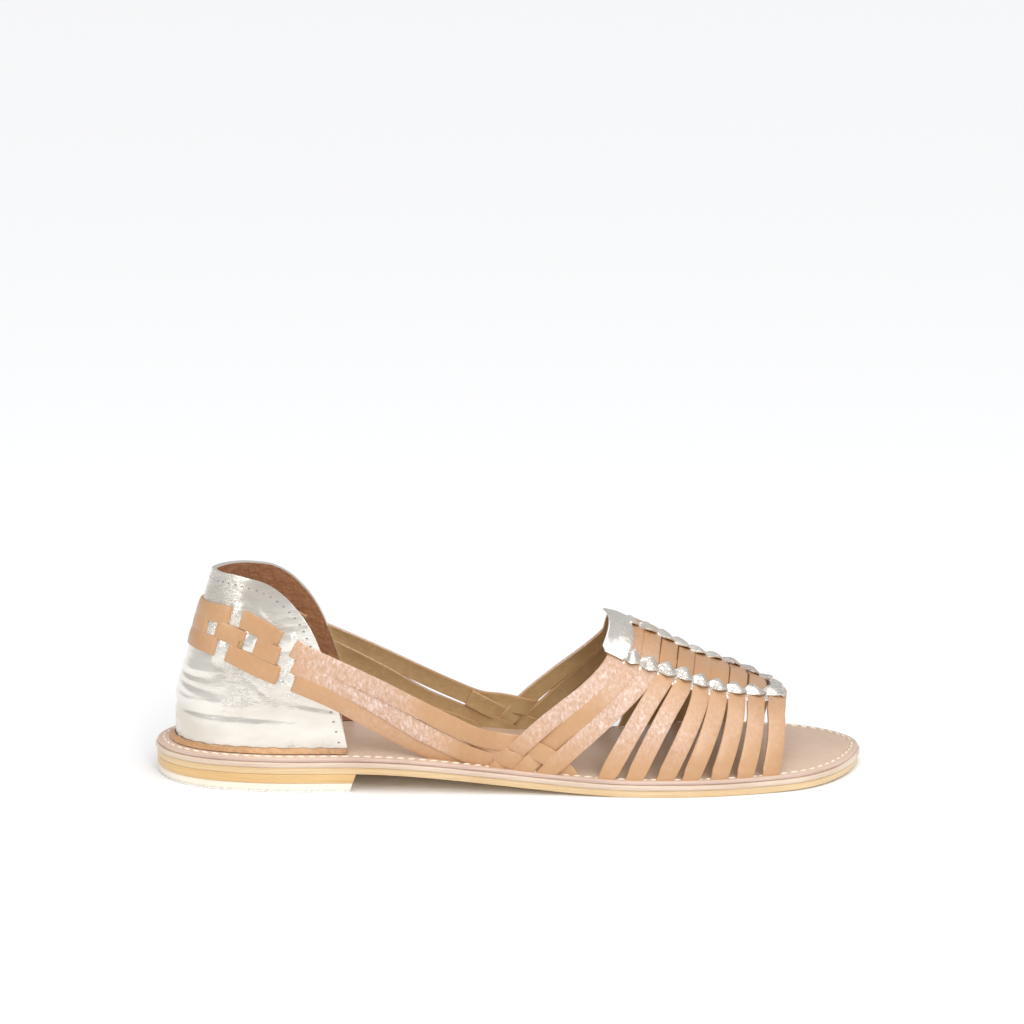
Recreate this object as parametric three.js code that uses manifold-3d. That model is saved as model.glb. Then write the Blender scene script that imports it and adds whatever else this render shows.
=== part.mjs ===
// Huarache sandal, right shoe: woven leather upper with a metallic counter on a low stacked heel.
// Millimetres, +X to the toe, +Y to the inner side, +Z up, floor at Z = 0.
import * as THREE from 'three';
import { mergeVertices } from 'three/addons/utils/BufferGeometryUtils.js';
import Module from 'manifold-3d';

const wasm = await Module();
wasm.setup();

// Sole
const SOLE_LENGTH = 256;
const BALL_WIDTH = 84;
const HEEL_WIDTH = 60;
const OUTSOLE_THICKNESS = 2.3;
const MIDSOLE_THICKNESS = 1.4;
const INSOLE_THICKNESS = 1.5;
const LIFT_THICKNESS = 3;
const TOP_PIECE_THICKNESS = 3.4;
const TOE_SPRING = 1.2;
const BREAST_AT = 74;
const BREAST_SLANT = 2.4;
const WAIST_END = 0.68;
const SPRING_START = 0.76;
const MIDSOLE_STEP = 0.5;
const INSOLE_STEP = 0.8;
const LIFT_STEP = 0.6;
const TOP_PIECE_STEP = 1;

// Upper
const INSTEP_HEIGHT = 59;
const ANKLE_HEIGHT = 104;
const HEEL_MARGIN = 7.3;
const BALL_MARGIN = 3;
const STRAP_WIDTH = 6.3;
const STRAP_THICKNESS = 1.5;
const WEAVE_REACH = 0.95 * STRAP_THICKNESS;
const RIDGE_LEAD = 0.4 * STRAP_WIDTH;

// Counter
const COUNTER_HEIGHT = 75;
const COUNTER_WALL = 1.8;
const COUNTER_LEAN = 14.5;
const COUNTER_MIDDLE = 0.12;
const RAND_WIDTH = 1.8;
const RAND_HEIGHT = 1.6;

// Lacing
const LACE_WIDTH = 5.2;
const LACE_THICKNESS = 1.1;
const LACE_RISE = 0.9;
const TAB_LENGTH = 9;
const TAB_SWEEP = 2.4;
const INNER_RUN_WIDTH = 0.8 * LACE_WIDTH;
const INNER_RUN_THICKNESS = 0.7 * STRAP_THICKNESS;

// Clearance between pieces
const SEAM = 0.3;

// Sole edge seen from above: along is a share of SOLE_LENGTH from the heel,
// outer and inner are shares of the width named in the last column
const SOLE_EDGE = [
  { along: 0.02, outer: 0.235, inner: 0.235, of: HEEL_WIDTH },
  { along: 0.07, outer: 0.4, inner: 0.4, of: HEEL_WIDTH },
  { along: 0.16, outer: 0.495, inner: 0.485, of: HEEL_WIDTH },
  { along: 0.28, outer: 0.5, inner: 0.45, of: HEEL_WIDTH },
  { along: 0.42, outer: 0.375, inner: 0.295, of: BALL_WIDTH },
  { along: 0.55, outer: 0.395, inner: 0.335, of: BALL_WIDTH },
  { along: 0.66, outer: 0.425, inner: 0.44, of: BALL_WIDTH },
  { along: 0.75, outer: 0.425, inner: 0.52, of: BALL_WIDTH },
  { along: 0.84, outer: 0.38, inner: 0.505, of: BALL_WIDTH },
  { along: 0.92, outer: 0.295, inner: 0.44, of: BALL_WIDTH },
  { along: 0.975, outer: 0.115, inner: 0.31, of: BALL_WIDTH },
];
const TOE_TIP = 0.14;

// Ridge line of the last: up is a share of the height named in the last column, above the floor
const RIDGE = [
  { along: 0, up: 1, of: ANKLE_HEIGHT },
  { along: 0.3, up: 1, of: ANKLE_HEIGHT },
  { along: 0.42, up: 0.87, of: ANKLE_HEIGHT },
  { along: 0.52, up: 0.74, of: ANKLE_HEIGHT },
  { along: 0.6, up: 1.06, of: INSTEP_HEIGHT },
  { along: 0.65, up: 0.965, of: INSTEP_HEIGHT },
  { along: 0.7, up: 0.87, of: INSTEP_HEIGHT },
  { along: 0.76, up: 0.705, of: INSTEP_HEIGHT },
  { along: 0.82, up: 0.6, of: INSTEP_HEIGHT },
  { along: 0.89, up: 0.465, of: INSTEP_HEIGHT },
  { along: 1, up: 0.3, of: INSTEP_HEIGHT },
];

// Top line of the counter: along is a share of SOLE_LENGTH, up a share of the counter's rise
const COUNTER_TOP = [
  { along: 0, up: 1 },
  { along: 0.06, up: 0.998 },
  { along: 0.093, up: 0.985 },
  { along: 0.126, up: 0.965 },
  { along: 0.152, up: 0.93 },
  { along: 0.178, up: 0.875 },
  { along: 0.203, up: 0.795 },
  { along: 0.221, up: 0.71 },
  { along: 0.235, up: 0.61 },
  { along: 0.248, up: 0.48 },
  { along: 0.26, up: 0.32 },
  { along: 0.27, up: 0.15 },
  { along: 0.276, up: 0.03 },
];

// How far the counter's wall has leaned forward at a share of its rise, as a share of COUNTER_LEAN
const COUNTER_SLOPE = [
  { up: 0, lean: 0 },
  { up: 0.3, lean: 0.06 },
  { up: 0.55, lean: 0.4 },
  { up: 1, lean: 1 },
];

// Three long straps from the heel to the braid, top one first: along is a share of SOLE_LENGTH, up a
// share of the counter's rise above the insole, and out the side it lies on, in strap thicknesses
const LONG_STRAPS = [
  [
    { along: 0.02, up: 0.795, out: 1 },
    { along: 0.065, up: 0.79, out: 1 },
    { along: 0.091, up: 0.775, out: -1 },
    { along: 0.116, up: 0.745, out: 1 },
    { along: 0.15, up: 0.69, out: 1 },
    { along: 0.183, up: 0.635, out: -1 },
    { along: 0.212, up: 0.575, out: 1 },
    { along: 0.253, up: 0.507, out: 0.4 },
    { along: 0.317, up: 0.391, out: 0.4 },
    { along: 0.364, up: 0.306, out: 0.4 },
    { along: 0.412, up: 0.226, out: 0.4 },
    { along: 0.456, up: 0.165, out: 0.4 },
    { along: 0.489, up: 0.155, out: 0.5 },
    { along: 0.517, up: 0.143, out: -0.5 },
    { along: 0.549, up: 0.106, out: 0.5 },
    { along: 0.568, up: 0.05, out: -0.5 },
    { along: 0.582, up: 0, out: -0.5 },
    { along: 0.592, up: -0.06, out: -0.5 },
  ],
  [
    { along: 0.02, up: 0.7, out: 1 },
    { along: 0.042, up: 0.7, out: 1 },
    { along: 0.062, up: 0.695, out: -1 },
    { along: 0.082, up: 0.675, out: 1 },
    { along: 0.105, up: 0.65, out: 1 },
    { along: 0.128, up: 0.62, out: -1 },
    { along: 0.15, up: 0.59, out: 1 },
    { along: 0.183, up: 0.545, out: -1 },
    { along: 0.212, up: 0.49, out: 1 },
    { along: 0.253, up: 0.423, out: 0 },
    { along: 0.317, up: 0.289, out: -0.1 },
    { along: 0.372, up: 0.167, out: 0 },
    { along: 0.412, up: 0.101, out: 0.1 },
    { along: 0.443, up: 0.055, out: 0.2 },
    { along: 0.464, up: 0.034, out: 0.2 },
    { along: 0.487, up: 0.008, out: -0.5 },
    { along: 0.502, up: -0.02, out: -0.5 },
    { along: 0.515, up: -0.06, out: -0.5 },
  ],
  [
    { along: 0.02, up: 0.61, out: 1 },
    { along: 0.05, up: 0.605, out: 1 },
    { along: 0.074, up: 0.585, out: -1 },
    { along: 0.098, up: 0.56, out: 1 },
    { along: 0.15, up: 0.485, out: 1 },
    { along: 0.183, up: 0.44, out: -1 },
    { along: 0.212, up: 0.395, out: 1 },
    { along: 0.253, up: 0.323, out: -0.2 },
    { along: 0.309, up: 0.198, out: -0.4 },
    { along: 0.372, up: 0.077, out: -0.5 },
    { along: 0.403, up: 0.038, out: -0.5 },
    { along: 0.435, up: 0.005, out: -0.5 },
    { along: 0.446, up: -0.015, out: -0.5 },
    { along: 0.46, up: -0.06, out: -0.5 },
  ],
];

// Lower half of the top long strap, which is slit before the braid: it lies under the other half and
// then over the first cross strap
const SLIT_HALF = [
  { along: 0.44, up: 0.175, out: -0.4 },
  { along: 0.456, up: 0.145, out: -0.5 },
  { along: 0.474, up: 0.109, out: -0.3 },
  { along: 0.497, up: 0.059, out: 0.5 },
  { along: 0.528, up: 0.03, out: -0.5 },
  { along: 0.546, up: -0.01, out: -0.5 },
  { along: 0.556, up: -0.06, out: -0.5 },
];

// Cross straps of the vamp, rear one first: top is where it crosses the ridge and foot where it leaves
// the insole, as shares of SOLE_LENGTH; sweep is how much of its way back it keeps for its foot, and
// over lists where it lies in the side braid, in strap thicknesses
const CROSS_STRAPS = [
  {
    top: 0.647, foot: 0.484, sweep: 1.5,
    over: [{ climb: 0.915, out: 0.5 }, { climb: 0.965, out: -0.5 }, { climb: 1, out: 0.5 }],
  },
  { top: 0.668, foot: 0.518, sweep: 1.5, over: [{ climb: 0.931, out: -0.5 }, { climb: 0.98, out: 0.5 }] },
  { top: 0.692, foot: 0.55, sweep: 1.5, over: [{ climb: 0.96, out: 0.5 }] },
  { top: 0.716, foot: 0.632, sweep: 1.2, over: [] },
  { top: 0.74, foot: 0.67, sweep: 1.2, over: [] },
  { top: 0.764, foot: 0.712, sweep: 1.5, over: [] },
  { top: 0.788, foot: 0.747, sweep: 1.5, over: [] },
  { top: 0.814, foot: 0.786, sweep: 1.6, over: [] },
  { top: 0.841, foot: 0.822, sweep: 1.7, over: [] },
  { top: 0.87, foot: 0.858, sweep: 2, over: [] },
];
// Climb where a cross strap starts its way to the foot, and where it meets the braid
const HOLD = 0.4;
const BRAID_START = 0.8;

// Share of SOLE_LENGTH where the long straps come free of the counter
const COUNTER_WEAVE_END = 0.23;

// Where the two strands of the lacing lie on the last, strap by strap: climb is 0 on the ridge,
// 1 at the foot line and negative on the outer side
const STRANDS = [
  { strap: 0, outer: -0.38, inner: -0.06 },
  { strap: 2, outer: -0.4, inner: -0.07 },
  { strap: 3, outer: -0.385, inner: -0.05 },
  { strap: 4, outer: -0.355, inner: 0 },
  { strap: 6, outer: -0.335, inner: 0.07 },
  { strap: 7, outer: -0.315, inner: 0.09 },
  { strap: 8, outer: -0.26, inner: 0.09 },
  { strap: 9, outer: -0.17, inner: 0.06 },
];

// Number of steps that shape each form
const EDGE_STEPS = 480;
const SOLE_STATIONS = 44;
const COUNTER_STATIONS = 36;
const COUNTER_ROWS = 5;
const CROSS_STEPS = 18;
const BRAIDED_STEPS = 28;
const BRAID_CROWDING = 1.8;
const PAST_FOOT = 1.06;
const WEAVE_STEPS = 20;
const LONG_STEPS = 36;
const SLIT_STEPS = 10;
const INNER_RUN_STEPS = 9;
const PLATE_STEPS = 8;
const WALL_STEP = 0.5;
const CLIMB_STEP = 0.01;
const LACE_STEPS_PER_STRAP = 4;

const { clamp, lerp, smoothstep } = THREE.MathUtils;
const OUTER = -1;
const INNER = 1;
const HEEL_X = -SOLE_LENGTH / 2;
const HEEL_HEIGHT = LIFT_THICKNESS + TOP_PIECE_THICKNESS + SEAM;
const SOLE_STACK = OUTSOLE_THICKNESS + MIDSOLE_THICKNESS + INSOLE_THICKNESS + 2 * SEAM;
const COUNTER_RISE = COUNTER_HEIGHT - HEEL_HEIGHT - SOLE_STACK;

const toX = (along) => HEEL_X + along * SOLE_LENGTH;
const toShare = (x) => (x - HEEL_X) / SOLE_LENGTH;

// Smooth value of a table at a share, by a cubic through the rows
function read(rows, at, value, key = 'along') {
  const last = rows.length - 1;
  if (at <= rows[0][key]) return value(rows[0]);
  if (at >= rows[last][key]) return value(rows[last]);
  const i = rows.findIndex((row, n) => n < last && at < rows[n + 1][key]);
  const slope = (n) => {
    const a = Math.max(n - 1, 0);
    const b = Math.min(n + 1, last);
    return (value(rows[b]) - value(rows[a])) / (rows[b][key] - rows[a][key]);
  };
  const run = rows[i + 1][key] - rows[i][key];
  const u = (at - rows[i][key]) / run;
  const rise = value(rows[i + 1]) - value(rows[i]);
  const a = slope(i) * run - rise;
  const b = rise - slope(i + 1) * run;
  return lerp(value(rows[i]), value(rows[i + 1]), u) + u * (1 - u) * (a * (1 - u) + b * u);
}

// The sole's edge in plan, moved in by a margin, as two runs of points from heel to toe
function soleEdge(margin) {
  const side = (row, across) => new THREE.Vector3(toX(row.along), across * row.of, 0);
  const loop = new THREE.CatmullRomCurve3([
    new THREE.Vector3(HEEL_X, 0, 0),
    ...SOLE_EDGE.map((row) => side(row, -row.outer)),
    new THREE.Vector3(-HEEL_X, TOE_TIP * BALL_WIDTH, 0),
    ...SOLE_EDGE.map((row) => side(row, row.inner)).reverse(),
  ], true, 'centripetal');
  const points = loop.getSpacedPoints(EDGE_STEPS).slice(0, -1).map((p, n) => {
    const tangent = loop.getTangentAt(n / EDGE_STEPS);
    const inwards = margin(p.x);
    return new THREE.Vector2(p.x - tangent.y * inwards, p.y + tangent.x * inwards);
  });
  const toe = points.reduce((best, p, n) => (p.x > points[best].x ? n : best), 0);
  const outer = points.slice(0, toe + 1);
  const inner = [points[0], ...points.slice(toe).reverse()];
  return { outer, inner };
}

// First point of a run beyond a value, never the run's own start
function nextAfter(run, key, value) {
  const found = run.findIndex((p) => p[key] > value);
  return found < 0 ? run.length - 1 : Math.max(found, 1);
}

// Across position of the sole's edge at x
function edgeAt(x, run) {
  const i = nextAfter(run, 'x', x);
  const u = clamp((x - run[i - 1].x) / (run[i].x - run[i - 1].x), 0, 1);
  return lerp(run[i - 1].y, run[i].y, u);
}

// Heights along the sole
function outsoleBottom(x) {
  const along = toShare(x);
  const waist = 1 - smoothstep(along, BREAST_AT / SOLE_LENGTH, WAIST_END);
  const toe = Math.max(0, (along - SPRING_START) / (1 - SPRING_START)) ** 2;
  return HEEL_HEIGHT * waist + TOE_SPRING * toe;
}
const midsoleBottom = (x) => outsoleBottom(x) + OUTSOLE_THICKNESS + SEAM;
const insoleBottom = (x) => midsoleBottom(x) + MIDSOLE_THICKNESS + SEAM;
const insoleTop = (x) => insoleBottom(x) + INSOLE_THICKNESS;
const ridgeHeight = (x) => read(RIDGE, toShare(x), (row) => row.up * row.of) - insoleTop(x);

// Foot of the upper: the line where its walls leave the insole, with its length from the heel
const MARGIN_TURN = { from: 0.2, to: 0.6 };
const footEdge = soleEdge((x) => lerp(HEEL_MARGIN, BALL_MARGIN,
  smoothstep(toShare(x), MARGIN_TURN.from, MARGIN_TURN.to)));
const footRuns = new Map([OUTER, INNER].map((side) => {
  const run = side === OUTER ? footEdge.outer : footEdge.inner;
  let length = 0;
  return [side, run.map((p, n) => {
    length += n ? p.distanceTo(run[n - 1]) : 0;
    return { x: p.x, y: p.y, length };
  })];
}));

function footAt(side, key, value) {
  const run = footRuns.get(side);
  const i = nextAfter(run, key, value);
  const u = clamp((value - run[i - 1][key]) / (run[i][key] - run[i - 1][key]), 0, 1);
  return {
    x: lerp(run[i - 1].x, run[i].x, u),
    y: lerp(run[i - 1].y, run[i].y, u),
    length: lerp(run[i - 1].length, run[i].length, u),
  };
}
const lengthTo = (along) => footAt(OUTER, 'x', toX(along)).length;

// Section of the last across the foot: a rounded arch over the middle of the foot line
const ARCH_POWER = 2.2;
const ARCH_ACROSS = 2 / ARCH_POWER;
const middleAt = (x) => (footAt(OUTER, 'x', x).y + footAt(INNER, 'x', x).y) / 2;
const halfAt = (x) => (footAt(INNER, 'x', x).y - footAt(OUTER, 'x', x).y) / 2;

// Point of the last on the vamp: climb is 1 at the foot line and 0 on the ridge, negative outside
function vampPoint(x, climb) {
  const up = (1 - Math.abs(climb)) * Math.PI / 2;
  const across = Math.sign(climb) * halfAt(x) * Math.max(Math.cos(up), 0) ** ARCH_ACROSS;
  const rise = up > 0 ? ridgeHeight(x) * Math.sin(up) : ridgeHeight(x) * up;
  return new THREE.Vector3(x, middleAt(x) + across, insoleTop(x) + rise);
}

const COUNTER_TURN = { from: 0.02, to: 0.29 };

// Point of the last on the heel and quarters: way is the length along the foot line from the back of
// the heel, negative on the outer side, and up the height above the insole
function wallPoint(way, up) {
  const side = way < 0 ? OUTER : INNER;
  const foot = footAt(side, 'length', Math.abs(way));
  const narrow = (1 - (Math.max(up, 0) / ridgeHeight(foot.x)) ** 2) ** (ARCH_ACROSS / 2);
  const back = 1 - smoothstep(toShare(foot.x), COUNTER_TURN.from, COUNTER_TURN.to);
  const lean = COUNTER_LEAN * read(COUNTER_SLOPE, up / COUNTER_RISE, (row) => row.lean, 'up') * back;
  const middle = middleAt(foot.x) * (1 - back);
  return new THREE.Vector3(
    foot.x + lean,
    middle + (foot.y - middle) * narrow,
    insoleTop(foot.x) + up,
  );
}

// Middle of the last at the height of the insole
const lastCentre = (x) => new THREE.Vector3(x, middleAt(x), insoleTop(x));
const heelCentre = new THREE.Vector3(toX(COUNTER_MIDDLE), 0, 0);

// Outward direction of a surface at two of its own coordinates
function outward(surface, a, b, stepB, centre) {
  const here = surface(a, b);
  const alongA = surface(a + WALL_STEP, b).sub(surface(a - WALL_STEP, b));
  const alongB = surface(a, b + stepB).sub(surface(a, b - stepB));
  const normal = alongA.cross(alongB).normalize();
  return normal.dot(here.sub(centre)) < 0 ? normal.negate() : normal;
}
const vampOutward = (x, climb) => outward(vampPoint, x, climb, CLIMB_STEP, lastCentre(x));
const wallOutward = (way, up, centre) => outward(wallPoint, way, up, WALL_STEP, centre);

// Closed solid through rings of corners; opposite corners of a ring are joined to close its ends
function loft(rings) {
  const size = rings[0].length;
  const positions = rings.flat().flatMap((p) => [p.x, p.y, p.z]);
  const faces = [];
  const quad = (a, b, c, d) => faces.push([a, b, c], [a, c, d]);
  for (let i = 0; i < rings.length - 1; i += 1) {
    const from = i * size;
    const to = from + size;
    for (let j = 0; j < size; j += 1) {
      const k = (j + 1) % size;
      quad(from + j, from + k, to + k, to + j);
    }
  }
  const end = (rings.length - 1) * size;
  for (let j = 0; j < size / 2 - 1; j += 1) {
    quad(j, size - 1 - j, size - 2 - j, j + 1);
    quad(end + j, end + j + 1, end + size - 2 - j, end + size - 1 - j);
  }
  const geometry = new THREE.BufferGeometry();
  geometry.setAttribute('position', new THREE.Float32BufferAttribute(positions, 3));
  geometry.setIndex(faces.flat());
  return outwards(mergeVertices(geometry));
}

// Drops faces that closed up at a tip and turns the rest to point out
function outwards(geometry) {
  const index = geometry.getIndex().array;
  const position = geometry.getAttribute('position');
  const corner = (n) => new THREE.Vector3().fromBufferAttribute(position, n);
  const kept = [];
  let volume = 0;
  for (let i = 0; i < index.length; i += 3) {
    const [a, b, c] = index.slice(i, i + 3);
    if (a === b || b === c || c === a) continue;
    kept.push([a, b, c]);
    volume += corner(a).dot(corner(b).cross(corner(c)));
  }
  geometry.setIndex(kept.map((face) => (volume < 0 ? face.reverse() : face)).flat());
  return geometry;
}

function toSolid(geometry) {
  return new wasm.Manifold(new wasm.Mesh({
    numProp: 3,
    vertProperties: new Float32Array(geometry.getAttribute('position').array),
    triVerts: new Uint32Array(geometry.getIndex().array),
  }));
}

function toGeometry(solid) {
  const mesh = solid.getMesh();
  const geometry = new THREE.BufferGeometry();
  geometry.setAttribute('position', new THREE.Float32BufferAttribute(mesh.vertProperties, 3));
  geometry.setIndex([...mesh.triVerts]);
  return geometry;
}

const joined = (geometries) => geometries.map(toSolid).reduce((all, solid) => all.add(solid));

// One layer of the sole between two heights, its edge moved in by a margin
function soleLayer(margin, bottom, top, until = Infinity, slant = 0) {
  const { outer, inner } = soleEdge(() => margin);
  const from = outer[0].x;
  const to = Math.min(outer[outer.length - 1].x, until);
  const rings = [];
  for (let i = 0; i <= SOLE_STATIONS; i += 1) {
    const whole = until === Infinity;
    const along = whole ? (1 - Math.cos(Math.PI * i / SOLE_STATIONS)) / 2
      : 1 - Math.cos(Math.PI / 2 * i / SOLE_STATIONS);
    const x = lerp(from, to, along);
    const lower = i === SOLE_STATIONS ? x - slant : x;
    const outerY = edgeAt(x, outer);
    const innerY = edgeAt(x, inner);
    rings.push([
      new THREE.Vector3(lower, outerY, bottom(lower)),
      new THREE.Vector3(lower, innerY, bottom(lower)),
      new THREE.Vector3(x, innerY, top(x)),
      new THREE.Vector3(x, outerY, top(x)),
    ]);
  }
  return loft(rings);
}

// A strap of rectangular section laid along places on the last, each with its outward direction
function strapAlong(places, width, thickness) {
  return loft(places.map(({ point, normal }, n) => {
    const before = places[Math.max(n - 1, 0)].point;
    const after = places[Math.min(n + 1, places.length - 1)].point;
    const across = after.clone().sub(before).cross(normal).normalize();
    const corner = (side, out) => point.clone()
      .addScaledVector(across, side * width / 2)
      .addScaledVector(normal, out * thickness / 2);
    return [corner(-1, -1), corner(1, -1), corner(1, 1), corner(-1, 1)];
  }));
}

// Places along one cross strap, foot to foot
const strandClimb = (side, n) => read(STRANDS, n, (row) => (side === OUTER ? row.outer : row.inner), 'strap');
const topRows = CROSS_STRAPS.map((row, strap) => ({ strap, x: toX(row.top) }));
const strapTopX = (n) => read(topRows, n, (row) => row.x, 'strap');

function crossX(n, climb) {
  const { top, foot, sweep } = CROSS_STRAPS[n];
  const reach = clamp((Math.abs(climb) - HOLD) / (1 - HOLD), 0, PAST_FOOT) ** sweep;
  return toX(lerp(top, foot, reach)) + RIDGE_LEAD * (1 - Math.min(Math.abs(climb) / HOLD, 1));
}

function crossOut(n, climb) {
  const rows = [{ climb: BRAID_START, out: 0 }, ...CROSS_STRAPS[n].over];
  return read(rows, Math.abs(climb), (row) => row.out, 'climb') * WEAVE_REACH;
}

function crossPlace(n, climb) {
  const x = crossX(n, climb);
  const normal = vampOutward(x, climb);
  const point = vampPoint(x, climb).addScaledVector(normal, crossOut(n, climb));
  return { point, normal };
}

function crossPlaces(n) {
  const braided = CROSS_STRAPS[n].over.length > 0;
  const steps = braided ? BRAIDED_STEPS : CROSS_STEPS;
  const crowding = braided ? BRAID_CROWDING : 1;
  return Array.from({ length: steps + 1 }, (_, i) => {
    const t = 2 * i / steps - 1;
    return crossPlace(n, PAST_FOOT * Math.sign(t) * (1 - (1 - Math.abs(t)) ** crowding));
  });
}

// Place of a long strap on the wall of the last
const byWay = (rows) => rows.map((row) => ({ way: lengthTo(row.along), ...row }));
function wallPlace(rows, way, reach) {
  const up = read(rows, Math.abs(way), (row) => row.up, 'way') * COUNTER_RISE;
  const out = read(rows, Math.abs(way), (row) => row.out, 'way');
  const point = wallPoint(way, up);
  const normal = wallOutward(way, up, point.x < heelCentre.x ? heelCentre : lastCentre(point.x));
  return { point: point.addScaledVector(normal, reach(out)), normal };
}
const braidReach = (out) => out * WEAVE_REACH;

// Places along one long strap, from the outer braid round the heel to the inner braid
function longPlaces(rows) {
  const wallRows = byWay(rows);
  const end = wallRows[wallRows.length - 1].way;
  const woven = lengthTo(COUNTER_WEAVE_END);
  const places = [];
  for (let i = -LONG_STEPS; i <= LONG_STEPS; i += 1) {
    const step = Math.abs(i);
    const way = Math.sign(i) * (step < WEAVE_STEPS ? woven * step / WEAVE_STEPS
      : lerp(woven, end, (step - WEAVE_STEPS) / (LONG_STEPS - WEAVE_STEPS)));
    places.push(wallPlace(wallRows, way, step < WEAVE_STEPS ? counterReach : braidReach));
  }
  return places;
}

// Places along the slit half on one side
function slitPlaces(side) {
  const rows = byWay(SLIT_HALF);
  const end = rows[rows.length - 1].way;
  return Array.from({ length: SLIT_STEPS + 1 }, (_, i) => (
    wallPlace(rows, side * lerp(rows[0].way, end, i / SLIT_STEPS), braidReach)));
}

// How far a long strap's middle lies from the counter's outer face, outside it or behind it
function counterReach(out) {
  const outside = STRAP_THICKNESS / 2 + SEAM;
  const behind = -(COUNTER_WALL + SEAM + STRAP_THICKNESS / 2);
  return lerp(behind, outside, clamp((out + 1) / 2, 0, 1));
}

const crossStraps = CROSS_STRAPS.map((row, n) => crossPlaces(n));
const longStraps = [...LONG_STRAPS.map(longPlaces), slitPlaces(OUTER), slitPlaces(INNER)];
const straps = (grow) => joined([...crossStraps, ...longStraps].map((places) => strapAlong(
  places,
  STRAP_WIDTH + 2 * grow,
  STRAP_THICKNESS + 2 * grow,
)));

// A strand of the lacing along the vamp, above or within the straps
function strandPlaces(side, out, from, to, steps) {
  return Array.from({ length: steps + 1 }, (_, i) => {
    const n = lerp(from, to, i / steps);
    const x = strapTopX(n);
    const climb = strandClimb(side, n);
    const normal = vampOutward(x, climb);
    return { point: vampPoint(x, climb).addScaledVector(normal, out(n)), normal };
  });
}
const lastStrap = CROSS_STRAPS.length - 1;
const innerRun = (side) => strapAlong(
  strandPlaces(side, () => 0, 0, lastStrap, INNER_RUN_STEPS),
  INNER_RUN_WIDTH,
  INNER_RUN_THICKNESS,
);
const laceLow = STRAP_THICKNESS / 2 + SEAM + LACE_THICKNESS / 2;
const laceOut = (n) => laceLow + LACE_RISE * (1 + Math.cos(2 * Math.PI * n)) / 2;
const outerRun = (side) => strapAlong(
  strandPlaces(side, laceOut, 0, lastStrap, lastStrap * LACE_STEPS_PER_STRAP),
  LACE_WIDTH,
  LACE_THICKNESS,
);

// Plate over the ridge from strand to strand, for the throat tab and the end tab
function ridgePlate(strap, forward, length, sweep) {
  const outer = strandClimb(OUTER, strap);
  const inner = strandClimb(INNER, strap);
  const overlap = (inner - outer) / PLATE_STEPS;
  return strapAlong(Array.from({ length: PLATE_STEPS + 1 }, (_, i) => {
    const across = 2 * i / PLATE_STEPS - 1;
    const climb = lerp(outer - overlap, inner + overlap, i / PLATE_STEPS);
    const x = strapTopX(strap) + forward - sweep * across ** 2;
    const normal = vampOutward(x, climb);
    return { point: vampPoint(x, climb).addScaledVector(normal, laceLow), normal };
  }), length, LACE_THICKNESS);
}

// Counter: one leather wall round the heel
const counterEnd = lengthTo(COUNTER_TOP[COUNTER_TOP.length - 1].along);
function counterRing(way) {
  const along = toShare(footAt(OUTER, 'length', Math.abs(way)).x);
  const top = read(COUNTER_TOP, along, (row) => row.up) * COUNTER_RISE;
  const face = (out) => Array.from({ length: COUNTER_ROWS + 1 }, (_, j) => {
    const up = lerp(SEAM, top, j / COUNTER_ROWS);
    const normal = wallOutward(way, up, heelCentre).setZ(0).normalize();
    return wallPoint(way, up).addScaledVector(normal, out);
  });
  return [...face(0), ...face(-COUNTER_WALL).reverse()];
}

function counterShell() {
  const rings = Array.from({ length: COUNTER_STATIONS + 1 }, (_, i) => {
    const u = 2 * i / COUNTER_STATIONS - 1;
    return counterRing(counterEnd * Math.sin(u * Math.PI / 2));
  });
  return loft(rings);
}

function counterRand() {
  const rings = Array.from({ length: COUNTER_STATIONS + 1 }, (_, i) => {
    const way = counterEnd * (2 * i / COUNTER_STATIONS - 1);
    const normal = wallOutward(way, SEAM, heelCentre).setZ(0).normalize();
    const corner = (out, up) => wallPoint(way, up).addScaledVector(normal, out);
    return [
      corner(SEAM, SEAM),
      corner(SEAM + RAND_WIDTH, SEAM),
      corner(SEAM + RAND_WIDTH, SEAM + RAND_HEIGHT / 2),
      corner(SEAM, SEAM + RAND_HEIGHT),
    ];
  });
  return loft(rings);
}

// The pieces, with the middle of the sole's width at Y = 0
const sandal = new THREE.Group();
const rim = soleEdge(() => 0);
const outermost = Math.min(...rim.outer.map((p) => p.y));
const innermost = Math.max(...rim.inner.map((p) => p.y));
sandal.position.y = -(outermost + innermost) / 2;
const FINISH = {
  rubber: { color: 0xe9e2d2, roughness: 0.7 },
  lift: { color: 0xd9ab5f, roughness: 0.55 },
  outsole: { color: 0xe8c68a, roughness: 0.55 },
  midsole: { color: 0xefd9b4, roughness: 0.6 },
  insole: { color: 0xd9ab8c, roughness: 0.6 },
  tan: { color: 0xc8926a, roughness: 0.5 },
  metallic: { color: 0xd8cfba, roughness: 0.3, metalness: 0.9 },
};
function addPiece(name, finish, geometry) {
  geometry.computeVertexNormals();
  const mesh = new THREE.Mesh(geometry, new THREE.MeshStandardMaterial(finish));
  mesh.name = name;
  sandal.add(mesh);
}

const flat = (height) => () => height;
const breastX = HEEL_X + BREAST_AT;
const slits = straps(SEAM);
const footing = toSolid(soleLayer(INSOLE_STEP, flat(-HEEL_HEIGHT), (x) => insoleTop(x) + SEAM));

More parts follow.
